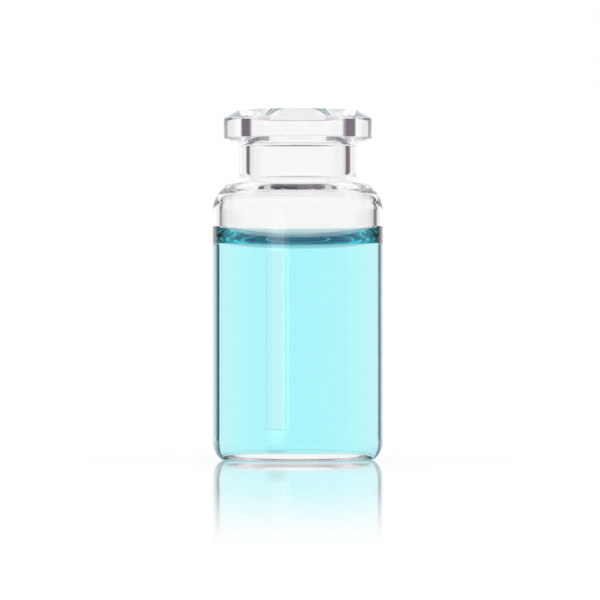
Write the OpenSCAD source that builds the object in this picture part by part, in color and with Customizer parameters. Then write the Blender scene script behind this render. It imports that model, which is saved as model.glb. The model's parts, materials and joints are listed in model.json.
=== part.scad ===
// Crimp-top glass sample vial, part filled with a pale blue solution.
// The vial is one piece of clear glass tube. Its base is closed and its shoulder, neck and flange
// are rolled to shape in the flame, so its wall is one turned section. The vial stands on z = 0
// with its axis on Z.

/* [Body] */
// Overall height, from the table to the rim
height = 46.15; // [46:0.05:60]
// Outer diameter of the body
body_d = 22.5; // [22.4:0.1:24]
// Wall thickness of the body
wall = 1.15; // [1:0.05:1.25]
// Outer radius of the heel, where the wall starts to turn under
heel_r = 2.9; // [2:0.1:3]
// Height where the slope of the heel would meet the wall
heel_z = 1.2; // [1.1:0.05:1.3]
// Distance from the axis where the slope of the heel meets the table
toe_r = 10.05; // [9.85:0.05:10.1]
// Radius between the slope of the heel and the base
toe_round_r = 0.85; // [0.4:0.05:0.9]
// Width of the base's edge outside its domed middle
foot_w = 0.6; // [0.4:0.05:0.8]
// Rise of the base's middle above the ring that the vial stands on
push_up = 0.15; // [0.1:0.05:0.5]
// Height of the floor at the foot of the wall
floor_z = 1.35; // [1.2:0.05:1.6]
// Inner radius where the wall meets the floor
floor_r = 1.1; // [0.8:0.1:1.6]

/* [Shoulder] */
// Depth from the rim to where the outer slope of the shoulder would meet the body wall
shoulder_drop = 10.7; // [10.6:0.01:10.9]
// Slope of the shoulder outside, in degrees above level
shoulder_slope = 25.2; // [22:0.2:27]
// Outer radius of the shoulder
shoulder_r = 4.1; // [2:0.1:4.2]
// Outer radius of the hollow between shoulder and neck
neck_fillet_r = 1.1; // [0.6:0.1:1.6]
// Depth from the rim to where the inner slope of the shoulder would meet the body wall
inner_drop = 11.26; // [11.1:0.01:11.6]
// Slope of the shoulder inside, in degrees above level
inner_slope = 16.6; // [14:0.2:18]
// Inner radius of the shoulder
inner_shoulder_r = 1.5; // [1:0.1:1.8]
// Radius where the inside of the shoulder turns up into the bore
bore_fillet_r = 2.8; // [1.5:0.1:2.8]

/* [Neck and flange] */
// Outer diameter of the neck
neck_d = 15.62; // [15.2:0.02:16]
// Diameter of the bore, which takes the plug of a 20 mm stopper
bore_d = 12.8; // [12.4:0.05:12.8]
// Outer diameter of the flange, which a 20 mm seal is crimped around
flange_d = 19.62; // [19.4:0.02:20]
// Height of the flange's straight edge
flange_h = 2.62; // [2.3:0.02:2.7]
// Height of the bevel between the flange's straight edge and the rim
bevel_h = 1.05; // [0.8:0.01:1.2]
// Outer diameter of the flat rim
rim_d = 15.92; // [15.4:0.02:16.2]
// Drop of the flange's underside from its edge to the neck
underside_h = 0.71; // [0.5:0.01:0.9]
// Rounding of the flange's edges
edge_r = 0.15; // [0.05:0.05:0.25]
// Rounding of the rim's outer edge
rim_edge_r = 0.25; // [0.1:0.05:0.35]
// Rounding of the rim's inner edge
lip_r = 0.15; // [0.1:0.05:0.3]
// Fillet under the flange
flange_fillet_r = 0.6; // [0.3:0.05:0.7]

/* [Sample] */
// Level of the sample, far from the wall
level = 27.4; // [10:0.1:27.6]
// Height that the sample climbs up the wall
climb = 3.6; // [2:0.1:3.7]
// Capillary length of the sample, which sets how wide the curve at the wall is
capillary = 2.8; // [2.7:0.05:2.9]

/* [Hidden] */
$fn = 180;
// How much larger than its radius a corner's disc is
overlap = 0.0003;

body_r = body_d / 2;
cavity_r = body_r - wall;
neck_r = neck_d / 2;
bore_r = bore_d / 2;
flange_r = flange_d / 2;
rim_r = rim_d / 2;

// The edge of the base's dome, and the floor's dome, which follows it inside the wall's rounding
foot_r = toe_r - foot_w;
dome_r = (pow(foot_r, 2) + pow(push_up, 2)) / (2 * push_up);
floor_edge_r = cavity_r - floor_r;
floor_dome_z = floor_z - sqrt(pow(dome_r, 2) - pow(floor_edge_r, 2));

// Heights where the shoulder's slopes meet the body wall, the neck and the bore
shoulder_z = height - shoulder_drop;
neck_z = shoulder_z + (body_r - neck_r) * tan(shoulder_slope);
inner_z = height - inner_drop;
bore_z = inner_z + (cavity_r - bore_r) * tan(inner_slope);

// Heights of the flange
bevel_z = height - bevel_h;
edge_z = bevel_z - flange_h;
underside_z = edge_z - underside_h;

// The curve of a liquid against an upright wall: at a slope s it stands 2 a sin(s/2) above the
// level, and its distance from the wall follows from the reach of that slope
wall_slope = 2 * asin(climb / (2 * capillary));
flat_slope = 3;
slope_step = (wall_slope - flat_slope) / 14;
function reach(s) = ln(tan(s / 4)) + 2 * cos(s / 2);
function meniscus(s) = [
    cavity_r - capillary * (reach(wall_slope) - reach(s)),
    level + 2 * capillary * (sin(s / 2) - sin(flat_slope / 2))
];

// Outline corners are [distance from the axis, height, rounding], counter-clockwise
outside = [
    [0, 0, 0],
    [toe_r, 0, toe_round_r],
    [body_r, heel_z, heel_r],
    [body_r, shoulder_z, shoulder_r],
    [neck_r, neck_z, neck_fillet_r],
    [neck_r, underside_z, flange_fillet_r],
    [flange_r, edge_z, edge_r],
    [flange_r, bevel_z, edge_r],
    [rim_r, height, rim_edge_r],
    [0, height, 0]
];
cavity = [
    [0, floor_z, 0],
    [cavity_r, floor_z, floor_r],
    [cavity_r, inner_z, inner_shoulder_r],
    [bore_r, bore_z, bore_fillet_r],
    [bore_r, height, lip_r],
    [bore_r + 2 * lip_r, height, 0],
    [bore_r + 2 * lip_r, height + 1, 0],
    [0, height + 1, 0]
];

function spot(corner) = [corner[0], corner[1]];
function way(from, to) = (to - from) / norm(to - from);
// Ways from corner i to its neighbours, half the angle between them, and the side it turns to
function back(c, i) = way(spot(c[i]), spot(c[(i + len(c) - 1) % len(c)]));
function ahead(c, i) = way(spot(c[i]), spot(c[(i + 1) % len(c)]));
function half_angle(c, i) = acos(back(c, i) * ahead(c, i)) / 2;
function is_convex(c, i) = cross(ahead(c, i), back(c, i)) > 0;
// Where the rounding of corner i starts and ends, and its centre
function cut(c, i) = c[i][2] / tan(half_angle(c, i));
function start_of(c, i) = spot(c[i]) + back(c, i) * cut(c, i);
function end_of(c, i) = spot(c[i]) + ahead(c, i) * cut(c, i);
function centre_of(c, i) =
    spot(c[i]) + way([0, 0], back(c, i) + ahead(c, i)) * c[i][2] / sin(half_angle(c, i));
function corner_points(c, i) =
    c[i][2] == 0 ? [spot(c[i])]
    : is_convex(c, i) ? [start_of(c, i), end_of(c, i)]
    : [start_of(c, i), centre_of(c, i), end_of(c, i)];

// Wedges of the discs that round the corners, for the corners that turn one way. A wedge is a
// little wider than its arc and its disc a hair larger, so that it crosses the sides of the
// outline instead of just touching them, and the disc's seam is turned away from the arc.
module corner_wedges(c, convex) {
    for (i = [0 : len(c) - 1])
        if (c[i][2] > 0 && is_convex(c, i) == convex)
            let (m = centre_of(c, i), inward = m - spot(c[i]), w = 0.2 * c[i][2])
                intersection() {
                    translate(m)
                        rotate(atan2(inward[1], inward[0]))
                            circle(c[i][2] + overlap);
                    polygon([
                        m,
                        2 * start_of(c, i) - m + w * back(c, i),
                        2 * end_of(c, i) - m + w * ahead(c, i)
                    ]);
                }
}

// Closed outline whose corners are true arcs
module outline(c) {
    difference() {
        union() {
            polygon([for (i = [0 : len(c) - 1]) each corner_points(c, i)]);
            corner_wedges(c, true);
        }
        corner_wedges(c, false);
    }
}

// Shallow dome over the floor, which follows the rise of the base
module floor_dome() {
    intersection() {
        translate([0, floor_dome_z])
            circle(dome_r);
        translate([0, floor_z - push_up])
            square([cavity_r, 3 * push_up]);
    }
}

module vial_glass() {
    color([0.93, 0.94, 0.96, 0.35])
        rotate_extrude()
            difference() {
                outline(outside);
                difference() {
                    outline(cavity);
                    floor_dome();
                }
                translate([0, push_up - dome_r])
                    circle(dome_r);
            }
}

// The sample wets the cavity face to face, from the floor up to the edge of its curved surface
module sample_liquid() {
    surface = [for (i = [0 : 14]) meniscus(wall_slope - i * slope_step)];
    color([0.55, 0.93, 0.97, 0.6])
        rotate_extrude()
            difference() {
                outline(concat(
                    [cavity[0], cavity[1]],
                    [for (p = surface) [p[0], p[1], 0]],
                    [[0, level, 0]]
                ));
                floor_dome();
            }
}

vial_glass();
sample_liquid();
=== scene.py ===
import json
import math

import bmesh
import bpy
from mathutils import Matrix, Vector


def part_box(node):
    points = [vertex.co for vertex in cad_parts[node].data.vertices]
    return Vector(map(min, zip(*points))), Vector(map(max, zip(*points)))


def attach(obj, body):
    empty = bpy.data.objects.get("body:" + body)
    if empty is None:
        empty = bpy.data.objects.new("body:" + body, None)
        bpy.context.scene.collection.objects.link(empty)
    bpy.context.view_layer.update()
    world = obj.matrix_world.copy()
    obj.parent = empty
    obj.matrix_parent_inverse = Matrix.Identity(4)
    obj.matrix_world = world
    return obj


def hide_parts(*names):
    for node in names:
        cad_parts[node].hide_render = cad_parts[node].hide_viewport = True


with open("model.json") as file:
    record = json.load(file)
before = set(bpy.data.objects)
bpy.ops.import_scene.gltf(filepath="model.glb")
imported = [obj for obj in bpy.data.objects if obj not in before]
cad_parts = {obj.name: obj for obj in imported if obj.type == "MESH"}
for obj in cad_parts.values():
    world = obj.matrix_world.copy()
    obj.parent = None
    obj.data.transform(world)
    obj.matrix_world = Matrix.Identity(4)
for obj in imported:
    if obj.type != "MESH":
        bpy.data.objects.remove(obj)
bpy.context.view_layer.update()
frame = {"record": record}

# ---------------------------------------------------------------------------------------------
# The vial: one piece of clear borosilicate tube. Its base is closed and its shoulder, neck and
# bevelled flange are rolled to shape in the flame, so the whole wall is one turned section.
# ---------------------------------------------------------------------------------------------
MM = 0.001
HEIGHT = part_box("vial_glass")[1].z
BODY_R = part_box("vial_glass")[1].x
SAMPLE_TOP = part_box("sample_liquid")[1]
CAVITY_R = SAMPLE_TOP.x
mounts = {mount["name"]: mount["dims"] for mount in frame["record"]["mounts"]}
BORE_R = mounts["neck_bore"]["r_mm"] * MM
FLANGE_R = mounts["flange_rim"]["r_mm"] * MM
NECK_R = 7.81 * MM

# The base: a sloped heel, a flat foot, and a slight dome inside it that the floor follows
HEEL_Z = 1.2 * MM
TOE_R = 10.05 * MM
FOOT_R = TOE_R - 0.6 * MM
PUSH_UP = 0.15 * MM
DOME_R = (FOOT_R ** 2 + PUSH_UP ** 2) / (2 * PUSH_UP)
FLOOR_Z = 1.35 * MM
FLOOR_R = 1.1 * MM
FLOOR_EDGE_R = CAVITY_R - FLOOR_R - 0.05 * MM

# The shoulder: where its outer and inner slopes would meet the walls, and how steep they are
SHOULDER_Z = HEIGHT - 10.7 * MM
SHOULDER_SLOPE = math.tan(math.radians(25.2))
INNER_Z = HEIGHT - 11.26 * MM
INNER_SLOPE = math.tan(math.radians(16.6))

# The flange: a sloped underside, a straight edge, and a bevel up to the flat rim
BEVEL_Z = HEIGHT - 1.05 * MM
EDGE_Z = BEVEL_Z - 2.62 * MM
UNDERSIDE_Z = EDGE_Z - 0.71 * MM
RIM_R = 7.96 * MM


def draw_corners(bm, corners, step=0.07 * MM):
    """Draws half a section as a chain of edges in the XZ plane and returns its two ends.

    A corner is (distance from the axis, height, rounding). A rounded corner is a point spun
    about the centre of the rounding. A short straight lead on each side of it keeps the
    shading of the long walls true."""
    lead = 0.03 * MM
    points = [Vector((r, 0, z)) for r, z, _ in corners]
    chain = []
    for i, at in enumerate(points):
        rounding = corners[i][2]
        if not rounding:
            chain.append((bm.verts.new(at),) * 2)
            continue
        back = (points[i - 1] - at).normalized()
        ahead = (points[i + 1] - at).normalized()
        half = back.angle(ahead) / 2
        cut = rounding / math.tan(half)
        centre = at + (back + ahead).normalized() * rounding / math.sin(half)
        first = bm.verts.new(at + back * (cut + lead))
        start = bm.verts.new(at + back * cut)
        turn = math.pi - 2 * half
        side = 1 if back.cross(ahead).y > 0 else -1
        spun = bmesh.ops.spin(bm, geom=[start], cent=centre, axis=(0, -side, 0),
                              angle=turn, steps=max(8, round(turn * rounding / step)))
        end = next(v for v in spun["geom_last"] if isinstance(v, bmesh.types.BMVert))
        last = bm.verts.new(at + ahead * (cut + lead))
        bm.edges.new((first, start))
        bm.edges.new((end, last))
        chain.append((first, last))
    for (_, a), (b, _) in zip(chain, chain[1:]):
        bm.edges.new((a, b))
    return chain[0][0], chain[-1][1]


def draw_dome(bm, edge):
    """Draws the base's shallow dome from its edge to the axis, as a point spun about its centre."""
    centre = Vector((0, 0, edge.co.z - math.sqrt(DOME_R ** 2 - edge.co.x ** 2)))
    bmesh.ops.spin(bm, geom=[edge], cent=centre, axis=(0, -1, 0),
                   angle=math.asin(edge.co.x / DOME_R), steps=12)


def turn_round(bm, name, turns=288, crisp=math.radians(40)):
    """Turns half a section about Z into a closed mesh and makes its object.

    Edges that turn more than the crisp angle stay sharp, and the rest is shaded smooth."""
    bmesh.ops.spin(bm, geom=bm.verts[:] + bm.edges[:], cent=(0, 0, 0), axis=(0, 0, 1),
                   angle=math.tau, steps=turns, use_merge=True)
    bmesh.ops.remove_doubles(bm, verts=bm.verts, dist=1e-7)
    bmesh.ops.recalc_face_normals(bm, faces=bm.faces)
    for face in bm.faces:
        face.smooth = True
    for edge in bm.edges:
        edge.smooth = edge.calc_face_angle() < crisp
    mesh = bpy.data.meshes.new(name)
    bm.to_mesh(mesh)
    bm.free()
    piece = bpy.data.objects.new(name, mesh)
    bpy.context.scene.collection.objects.link(piece)
    return piece


glass = bmesh.new()
foot, floor_edge = draw_corners(glass, [
    (FOOT_R, 0, 0),
    (TOE_R, 0, 0.85 * MM),
    (BODY_R, HEEL_Z, 2.9 * MM),
    (BODY_R, SHOULDER_Z, 4.1 * MM),
    (NECK_R, SHOULDER_Z + (BODY_R - NECK_R) * SHOULDER_SLOPE, 1.1 * MM),
    (NECK_R, UNDERSIDE_Z, 0.6 * MM),
    (FLANGE_R, EDGE_Z, 0.15 * MM),
    (FLANGE_R, BEVEL_Z, 0.15 * MM),
    (RIM_R, HEIGHT, 0.25 * MM),
    (BORE_R, HEIGHT, 0.15 * MM),
    (BORE_R, INNER_Z + (CAVITY_R - BORE_R) * INNER_SLOPE, 2.8 * MM),
    (CAVITY_R, INNER_Z, 1.5 * MM),
    (CAVITY_R, SAMPLE_TOP.z, 0),
    (CAVITY_R, FLOOR_Z, FLOOR_R),
    (FLOOR_EDGE_R, FLOOR_Z, 0),
])
draw_dome(glass, foot)
draw_dome(glass, floor_edge)
vial = turn_round(glass, "vial_glass_wall")


def linear(hex_colour):
    """An sRGB hex colour as the linear values that Blender's sockets take."""
    parts = [int(hex_colour[i:i + 2], 16) / 255 for i in (1, 3, 5)]
    return (*[c / 12.92 if c <= 0.04045 else ((c + 0.055) / 1.055) ** 2.4 for c in parts], 1)


def add(tree, kind, settings=None, **inputs):
    """Adds a node of this kind, sets its settings and gives its inputs values or links.

    An input is named as its socket is, with _ for a space, or i and the socket's number."""
    node = tree.nodes.new(kind)
    for key, value in (settings or {}).items():
        setattr(node, key, value)
    for key, value in inputs.items():
        numbered = key[0] == "i" and key[1:].isdigit()
        socket = node.inputs[int(key[1:]) if numbered else key.replace("_", " ")]
        if isinstance(value, bpy.types.NodeSocket):
            tree.links.new(value, socket)
        else:
            socket.default_value = value
    return node


def new_material(name):
    """An empty node material, and the tree that its nodes go into."""
    material = bpy.data.materials.new(name)
    material.use_nodes = True
    material.node_tree.nodes.clear()
    return material, material.node_tree


# Clear borosilicate, drawn as tube and softened in the flame: no colour of its own, a fire
# polish, and very faint waves left by the drawing and the rolling.
GLASS_IOR = 1.473
SAMPLE_IOR = 1.333
WAVE = 6.25 * MM
WAVE_DEPTH = 0.002 * MM


def tube_glass(name, ior):
    """The glass, with waves of about 6 mm round the tube and 30 mm along it."""
    material, tree = new_material(name)
    place = add(tree, "ShaderNodeTexCoord")
    drawn = add(tree, "ShaderNodeMapping", Vector=place.outputs["Object"], Scale=(1, 1, 0.2))
    waves = add(tree, "ShaderNodeTexNoise", Vector=drawn.outputs[0], Scale=1 / WAVE, Detail=1.0)
    skin = add(tree, "ShaderNodeBump", Height=waves.outputs[0], Strength=0.5, Distance=WAVE_DEPTH)
    shader = add(tree, "ShaderNodeBsdfPrincipled", Base_Color=linear("#FEFEFE"), Roughness=0.0,
                 IOR=ior, Transmission_Weight=1.0, Normal=skin.outputs[0])
    add(tree, "ShaderNodeOutputMaterial", Surface=shader.outputs[0])
    return material


# Where the sample wets the wall, light passes from glass to solution, not to air
vial.data.materials.append(tube_glass("flame_polished_borosilicate", GLASS_IOR))
vial.data.materials.append(tube_glass("borosilicate_wetted_by_sample", GLASS_IOR / SAMPLE_IOR))
for face in vial.data.polygons:
    spot = face.center
    inside = math.hypot(spot.x, spot.y) < CAVITY_R + 0.01 * MM
    if inside and FLOOR_Z - 0.1 * MM < spot.z < SAMPLE_TOP.z:
        face.material_index = 1
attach(vial, "root")
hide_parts("vial_glass")

# ---------------------------------------------------------------------------------------------
# The sample: a clear pale blue solution in water. It wets the glass, so its surface is level in
# the middle and curves up the wall. The solution's capillary length and its climb give the curve.
# ---------------------------------------------------------------------------------------------
GAP = 0.002 * MM    # the sample stands this far clear of the wall, so that no faces coincide
CAPILLARY = 2.8 * MM
CLIMB = 3.6 * MM
LEVEL = SAMPLE_TOP.z - CLIMB
WALL_SLOPE = 2 * math.asin(CLIMB / (2 * CAPILLARY))
SURFACE_STEPS = 64


def reach(slope):
    """How far from the wall the surface has flattened to this slope, in capillary lengths."""
    return math.log(math.tan(slope / 4)) + 2 * math.cos(slope / 2)


def surface_point(slope):
    """Where the curved surface has this slope. The second term is the pull of the far wall."""
    away = CAPILLARY * (reach(WALL_SLOPE) - reach(slope))
    far_wall = 4 * CAPILLARY * math.exp(reach(WALL_SLOPE) - 2 - (2 * CAVITY_R - away) / CAPILLARY)
    return CAVITY_R - GAP - away, LEVEL + 2 * CAPILLARY * math.sin(slope / 2) + far_wall, 0


# Slopes from the wall to the axis, each the same share of the one before it
axis_slope = 4 * math.exp(reach(WALL_SLOPE) - CAVITY_R / CAPILLARY - 2)
slopes = [WALL_SLOPE * (axis_slope / WALL_SLOPE) ** (k / SURFACE_STEPS)
          for k in range(SURFACE_STEPS)]
sample = bmesh.new()
_, floor_edge = draw_corners(sample, [
    (0, surface_point(axis_slope)[1], 0),
    *[surface_point(slope) for slope in reversed(slopes)],
    (CAVITY_R - GAP, FLOOR_Z + GAP, FLOOR_R),
    (FLOOR_EDGE_R, FLOOR_Z + GAP, 0),
])
draw_dome(sample, floor_edge)
liquid = turn_round(sample, "sample_liquid_body")

# A dye in water: it takes out red, at 43.7 per metre, and a trace of green, so the colour deepens
# with the thickness. Against the glass, the glass does the bending and this surface only lets
# light pass.
material, tree = new_material("pale_blue_solution")
wetted = add(tree, "ShaderNodeAttribute", {"attribute_name": "against_glass"})
open_surface = add(tree, "ShaderNodeBsdfPrincipled", Base_Color=linear("#FFFFFF"), Roughness=0.0,
                   IOR=SAMPLE_IOR, Transmission_Weight=1.0)
joined = add(tree, "ShaderNodeBsdfTransparent")
surface = add(tree, "ShaderNodeMixShader", Fac=wetted.outputs["Fac"], i1=open_surface.outputs[0],
              i2=joined.outputs[0])
dye = add(tree, "ShaderNodeVolumeAbsorption", Color=linear("#00FAFF"), Density=43.7)
add(tree, "ShaderNodeOutputMaterial", Surface=surface.outputs[0], Volume=dye.outputs[0])
liquid.data.materials.append(material)
against_glass = liquid.data.attributes.new("against_glass", "FLOAT", "FACE")
for face in liquid.data.polygons:
    spot = face.center
    is_open = spot.z > LEVEL and math.hypot(spot.x, spot.y) < CAVITY_R - 2 * GAP
    against_glass.data[face.index].value = 0 if is_open else 1
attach(liquid, "root")
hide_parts("sample_liquid")

# ---------------------------------------------------------------------------------------------
# The table top: a round board of glossy white acrylic. It mirrors the vial at a low angle, and
# it loses that shine away from the vial, so the ground runs out to plain white.
# ---------------------------------------------------------------------------------------------
BOARD_R = 2.0
UNDER_FOOT = 0.02 * MM    # so that the board and the foot never share a face

board = bmesh.new()
bmesh.ops.create_circle(board, cap_ends=True, segments=96, radius=BOARD_R,
                        matrix=Matrix.Translation((0, 0, -UNDER_FOOT)))
mesh = bpy.data.meshes.new("table_top")
board.to_mesh(mesh)
board.free()
table = bpy.data.objects.new("table_top", mesh)
bpy.context.scene.collection.objects.link(table)

# Polished acrylic sheet: plain white, with a painted blue-grey shade close round the vial, and a
# shine that grows at a low angle. Light that comes through the vial meets the full painted shade,
# and ground painted dimmer up to 54 mm behind. In the open view only an eighth of the painted shade
# shows, spread wider.
material, tree = new_material("glossy_white_acrylic")
ray = add(tree, "ShaderNodeLightPath")
place = add(tree, "ShaderNodeTexCoord")
away = add(tree, "ShaderNodeVectorMath", {"operation": "LENGTH"}, i0=place.outputs["Object"])
# Painted shade: a darker blue-grey diffuse under and close round the vial, standing in for its
# shadow and the light through the sample. As a diffuse it also takes the vial's real shadow.
painted_shade = add(tree, "ShaderNodeBsdfDiffuse", Color=linear("#7C9FBE"))
axes = add(tree, "ShaderNodeSeparateXYZ", i0=place.outputs["Object"])
# Painted shade: for all rays but the camera's, the white ground glows at only 0.66 everywhere in
# front of the vial and up to 32 mm behind it, rising to full at 54 mm.
painted_dim_ground = add(tree, "ShaderNodeMapRange", {"interpolation_type": "SMOOTHSTEP"},
             Value=axes.outputs["Y"], From_Min=32 * MM, From_Max=54 * MM, To_Min=0.66)
bright = add(tree, "ShaderNodeMath", {"operation": "MAXIMUM"}, i0=ray.outputs["Is Camera Ray"],
             i1=painted_dim_ground.outputs[0])
white = add(tree, "ShaderNodeEmission", Color=linear("#FFFFFF"), Strength=bright.outputs[0])
# The painted shade fades out with distance from the axis. For light through the vial it goes from
# full at 10 mm to none at 26 mm, and for the camera from an eighth at 10 mm to none at 42 mm.
open_ground = add(tree, "ShaderNodeMapRange", {"interpolation_type": "SMOOTHSTEP"},
                  Value=away.outputs["Value"], From_Min=10 * MM, From_Max=26 * MM)
in_view = add(tree, "ShaderNodeMapRange", {"interpolation_type": "SMOOTHSTEP"},
              Value=away.outputs["Value"], From_Min=10 * MM, From_Max=42 * MM, To_Min=0.88)
clear_of_vial = add(tree, "ShaderNodeMix", {"data_type": "FLOAT"},
                    Factor=ray.outputs["Is Camera Ray"], A=open_ground.outputs[0],
                    B=in_view.outputs[0])
ground = add(tree, "ShaderNodeMixShader", Fac=clear_of_vial.outputs["Result"],
             i1=painted_shade.outputs[0], i2=white.outputs[0])
low_angle = add(tree, "ShaderNodeFresnel", IOR=1.49)
worn = add(tree, "ShaderNodeMapRange", {"interpolation_type": "SMOOTHSTEP"},
           Value=away.outputs["Value"], From_Min=85 * MM, From_Max=240 * MM, To_Min=0.79, To_Max=0)
polish = add(tree, "ShaderNodeMath", {"operation": "MULTIPLY"}, i0=low_angle.outputs[0],
             i1=worn.outputs[0])
shine = add(tree, "ShaderNodeBsdfGlossy", Color=linear("#FFFFFF"), Roughness=0.05)
top = add(tree, "ShaderNodeMixShader", Fac=polish.outputs[0], i1=ground.outputs[0],
          i2=shine.outputs[0])
add(tree, "ShaderNodeOutputMaterial", Surface=top.outputs[0])
mesh.materials.append(material)

# ---------------------------------------------------------------------------------------------
# The light: a white room, with grey cards hung round the vial. The cards show only in the
# glass, where they draw its dark edges and bands.
# ---------------------------------------------------------------------------------------------
world = bpy.data.worlds.new("white_room")
world.use_nodes = True
tree = world.node_tree
tree.nodes.clear()
glow = add(tree, "ShaderNodeBackground", Color=linear("#FFFFFF"), Strength=1.0)
add(tree, "ShaderNodeOutputWorld", Surface=glow.outputs[0])
bpy.context.scene.world = world

# Some cards show only to a part of the light. Its ray depth counts its turns at the glass, and
# its transparent depth counts how often it has passed between the sample and the glass.
OFF_OUTER_FACE = ("Ray Depth", "LESS_THAN", 2.5)
THROUGH_SAMPLE = ("Transparent Depth", "GREATER_THAN", 1.5)
NOT_OFF_BASE = ("Transparent Depth", "LESS_THAN", 2.5)


def hang_card(name, tone, left, right, low, high, power=1.0, seen_if=None):
    """Hangs a curved card: a standing edge, or a flat one, spun about the vial.

    The angles are degrees from straight behind the vial, and low and high are points in
    millimetres (distance from the axis, height)."""
    bm = bmesh.new()
    ends = [bm.verts.new((0, r * MM, z * MM)) for r, z in (low, high)]
    edge = bm.edges.new(ends)
    to_left = Matrix.Rotation(-math.radians(left), 3, "Z")
    bmesh.ops.rotate(bm, verts=ends, cent=(0, 0, 0), matrix=to_left)
    bmesh.ops.spin(bm, geom=[*ends, edge], cent=(0, 0, 0), axis=(0, 0, 1),
                   angle=-math.radians(right - left), steps=max(4, round((right - left) / 4)))
    mesh = bpy.data.meshes.new(name)
    bm.to_mesh(mesh)
    bm.free()
    card = bpy.data.objects.new(name, mesh)
    bpy.context.scene.collection.objects.link(card)
    material, tree = new_material(name)
    ray = add(tree, "ShaderNodeLightPath")
    clear = add(tree, "ShaderNodeBsdfTransparent")
    grey = add(tree, "ShaderNodeEmission", Color=linear(tone), Strength=power)
    shows = ray.outputs["Is Singular Ray"]
    if seen_if:
        count, compare, limit = seen_if
        chosen = add(tree, "ShaderNodeMath", {"operation": compare}, i0=ray.outputs[count],
                     i1=limit)
        shows = add(tree, "ShaderNodeMath", {"operation": "MULTIPLY"}, i0=shows,
                    i1=chosen.outputs[0]).outputs[0]
    seen = add(tree, "ShaderNodeMixShader", Fac=shows, i1=clear.outputs[0], i2=grey.outputs[0])
    add(tree, "ShaderNodeOutputMaterial", Surface=seen.outputs[0])
    mesh.materials.append(material)
    card.visible_camera = card.visible_diffuse = card.visible_shadow = False


def hang_row(low, high, cards, seen_if=None):
    """Hangs a row of cards of one height, each given by its name, tone, left and right."""
    for name, tone, left, right in cards:
        hang_card(name, tone, left, right, low, high, seen_if=seen_if)


# Where the cards hang, in millimetres: the standing ones 98 from the axis, and those before them
# a little nearer. The lowest row ends about at the sample's surface.
CARD_R = 98
BEFORE_R = 97.5
FLAG_Z = 30
RAIL_Z = 66
UPPER_Z = 74
HIGH_Z = 105
CANOPY_Z = 130
CANOPY_R = 55

# From the table up to the sample's surface: dark flags draw the two edges of the body
EDGE_FLAGS = (
    ("flag_left_low", "#4A404A", -54, -44),
    ("flag_left_low_edge", "#A8A1A8", -44, -41.5),
    ("flag_right_edge", "#4A404A", 37.3, 41),
    ("flag_right_low_edge", "#8A838A", 41, 44),
)
hang_row((CARD_R, 0), (CARD_R, FLAG_Z), (
    *EDGE_FLAGS,
    ("flag_right_low", "#B4AEB4", 44, 50),
    ("flag_right_low_side", "#F0EEF0", 50, 75),
    ("side_left_low", "#E6E3E6", -115, -54),
    ("side_right_low", "#E6E3E6", 75, 115),
))

# Their feet lie on the table, so that the edges stay dark down to the heel
FEET_R = 60
FEET_Z = 0.3
hang_row((FEET_R, FEET_Z), (CARD_R, FEET_Z),
         [(name + "_foot", *rest) for name, *rest in EDGE_FLAGS], seen_if=THROUGH_SAMPLE)

# From the sample's surface to above the vial: flags whose dark bars stand in the neck and flange
hang_row((CARD_R, FLAG_Z), (CARD_R, RAIL_Z), (
    ("flag_left", "#625762", -75, -46),
    ("flag_left_edge_top", "#BCB7BC", -46, -41.5),
    ("flag_right_edge_top", "#B5B0B5", 37, 41.5),
    ("flag_right", "#695E69", 41.5, 75),
), seen_if=NOT_OFF_BASE)
hang_row((CARD_R, FLAG_Z), (CARD_R, RAIL_Z), (
    ("side_left", "#D2CDD2", -115, -75),
    ("side_right", "#D2CDD2", 75, 115),
))
hang_row((CARD_R, 0), (CARD_R, RAIL_Z), (
    ("front_left", "#CDC9CF", -180, -115),
    ("front_right", "#CDC9CF", 115, 180),
))

# Dark rails lie above them and fade out towards the front, for a line round the shoulder
RAIL_END_R = 97.8
RAIL_END_Z = 70
hang_row((CARD_R, RAIL_Z), (CARD_R, UPPER_Z), (
    ("rail_left", "#5E565E", -85, -41),
    ("rail_right", "#5E565E", 41, 85),
))
hang_row((RAIL_END_R, RAIL_Z), (RAIL_END_R, RAIL_END_Z), (
    ("rail_end_left_101", "#898189", -101, -85),
    ("rail_end_left_115", "#A59DA5", -115, -101),
    ("rail_end_left_124", "#C4BDC4", -124, -115),
    ("rail_end_right_101", "#898189", 85, 101),
    ("rail_end_right_115", "#A59DA5", 101, 115),
    ("rail_end_right_124", "#C4BDC4", 115, 124),
))

# Pale upper walls, and darker flags before them, which show in the rounded corners of the glass
FRONT_FLAG_Z = 116
hang_row((CARD_R, UPPER_Z), (CARD_R, CANOPY_Z), (
    ("upper_left", "#D8D4D8", -85, -41),
    ("upper_right", "#D8D4D8", 41, 85),
))
hang_row((CARD_R, RAIL_END_Z), (CARD_R, CANOPY_Z), (
    ("upper_end_left", "#D8D4D8", -115, -85),
    ("upper_end_right", "#D8D4D8", 85, 115),
))
hang_row((CARD_R, RAIL_Z), (CARD_R, CANOPY_Z), (
    ("front_top_left", "#F4F2F5", -180, -115),
    ("front_top_right", "#F4F2F5", 115, 180),
))
hang_row((BEFORE_R, UPPER_Z), (BEFORE_R, HIGH_Z), (
    ("upper_flag_left", "#857D85", -72, -48),
    ("upper_flag_right", "#857D85", 48, 72),
))
hang_row((BEFORE_R, HIGH_Z), (BEFORE_R, CANOPY_Z), (
    ("high_flag_left", "#6A626A", -70, -47),
    ("high_flag_right", "#857D85", 50, 68),
))
hang_row((BEFORE_R, FRONT_FLAG_Z), (BEFORE_R, CANOPY_Z), (
    ("front_flag_left", "#4C444C", -130, -94),
    ("front_flag_right", "#776E77", 94, 130),
))

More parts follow.
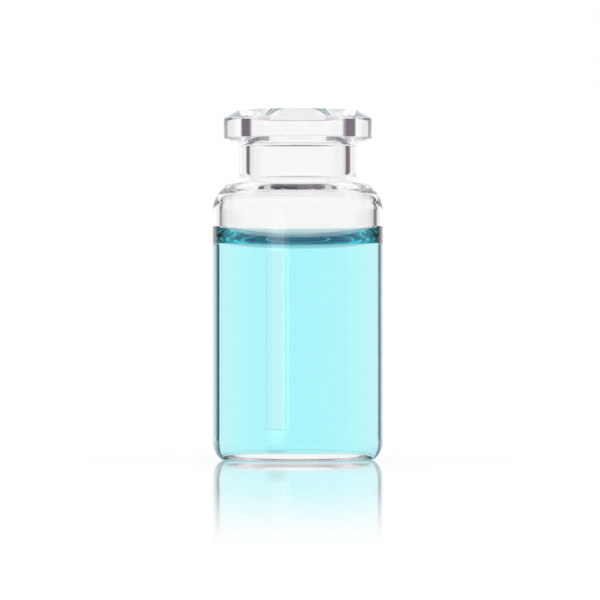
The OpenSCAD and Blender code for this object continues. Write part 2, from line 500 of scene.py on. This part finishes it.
# The canopy over the vial: a grey disc, and a ring round it that is dark towards the front
hang_row((0, CANOPY_Z), (CANOPY_R, CANOPY_Z), [("canopy_middle", "#8A848A", -180, 180)])
hang_row((CANOPY_R, CANOPY_Z), (CARD_R, CANOPY_Z), (
    ("canopy_front_left", "#4C444C", -180, -90),
    ("canopy_left", "#CCC8CC", -90, -45),
    ("canopy_right", "#CBC6CB", 45, 90),
    ("canopy_front_right", "#776E77", 90, 180),
))

# A window that shines off the outer face as an upright streak, brighter in its middle and
# dimmer towards its foot and its top. A step is (low, high, share of the brightness).
WINDOW_STEPS = ((0, 1.1, 0.3), (1.1, 2.2, 0.45), (2.2, 28.9, 1), (28.9, 32.1, 0.6), (32.1, 38, 0.2))
WINDOW_R = 97
WINDOW_POWER = 3.2
MIDDLE_R = 96.5
MIDDLE_POWER = 6.2
for step, (low, high, share) in enumerate(WINDOW_STEPS):
    hang_card(f"window_{step}", "#FFFFFF", -168.9, -141, (WINDOW_R, low), (WINDOW_R, high),
              power=WINDOW_POWER * share, seen_if=OFF_OUTER_FACE)
    hang_card(f"window_middle_{step}", "#FFFFFF", -163.2, -146.1, (MIDDLE_R, low), (MIDDLE_R, high),
              power=MIDDLE_POWER * share, seen_if=OFF_OUTER_FACE)

# The streak adds to what lies behind it, so pale shades opposite the window take some away
SHADE_Z = 1.6
hang_row((WINDOW_R, SHADE_Z), (WINDOW_R, FLAG_Z), [("wash", "#F1F1F1", 2.5, 7.9)],
         seen_if=THROUGH_SAMPLE)
hang_row((MIDDLE_R, SHADE_Z), (MIDDLE_R, FLAG_Z), [("wash_middle", "#E3E3E3", 3.6, 6.7)],
         seen_if=THROUGH_SAMPLE)

# ---------------------------------------------------------------------------------------------
# The camera: a long lens a little below the middle of the vial, almost level.
# ---------------------------------------------------------------------------------------------
CAMERA_X = 0.3 * MM
CAMERA_AWAY = 608.4 * MM
CAMERA_Z = 19.22 * MM
AIM_RISE = 1.9 * MM
LENS_MM = 276
SENSOR_MM = 36

camera = bpy.data.objects.new("camera", bpy.data.cameras.new("camera"))
bpy.context.scene.collection.objects.link(camera)
camera.data.sensor_width = SENSOR_MM
camera.data.lens = LENS_MM
camera.location = (CAMERA_X, -CAMERA_AWAY, CAMERA_Z)
aim = Vector((CAMERA_X, 0, CAMERA_Z + AIM_RISE)) - camera.location
camera.rotation_euler = aim.to_track_quat("-Z", "Y").to_euler()

# Light crosses the walls many times, so it is followed further than usual
scene = bpy.context.scene
scene.camera = camera
scene.view_settings.view_transform = "Standard"
scene.cycles.max_bounces = 48
scene.cycles.transmission_bounces = 48
scene.cycles.glossy_bounces = 24
scene.cycles.transparent_max_bounces = 16
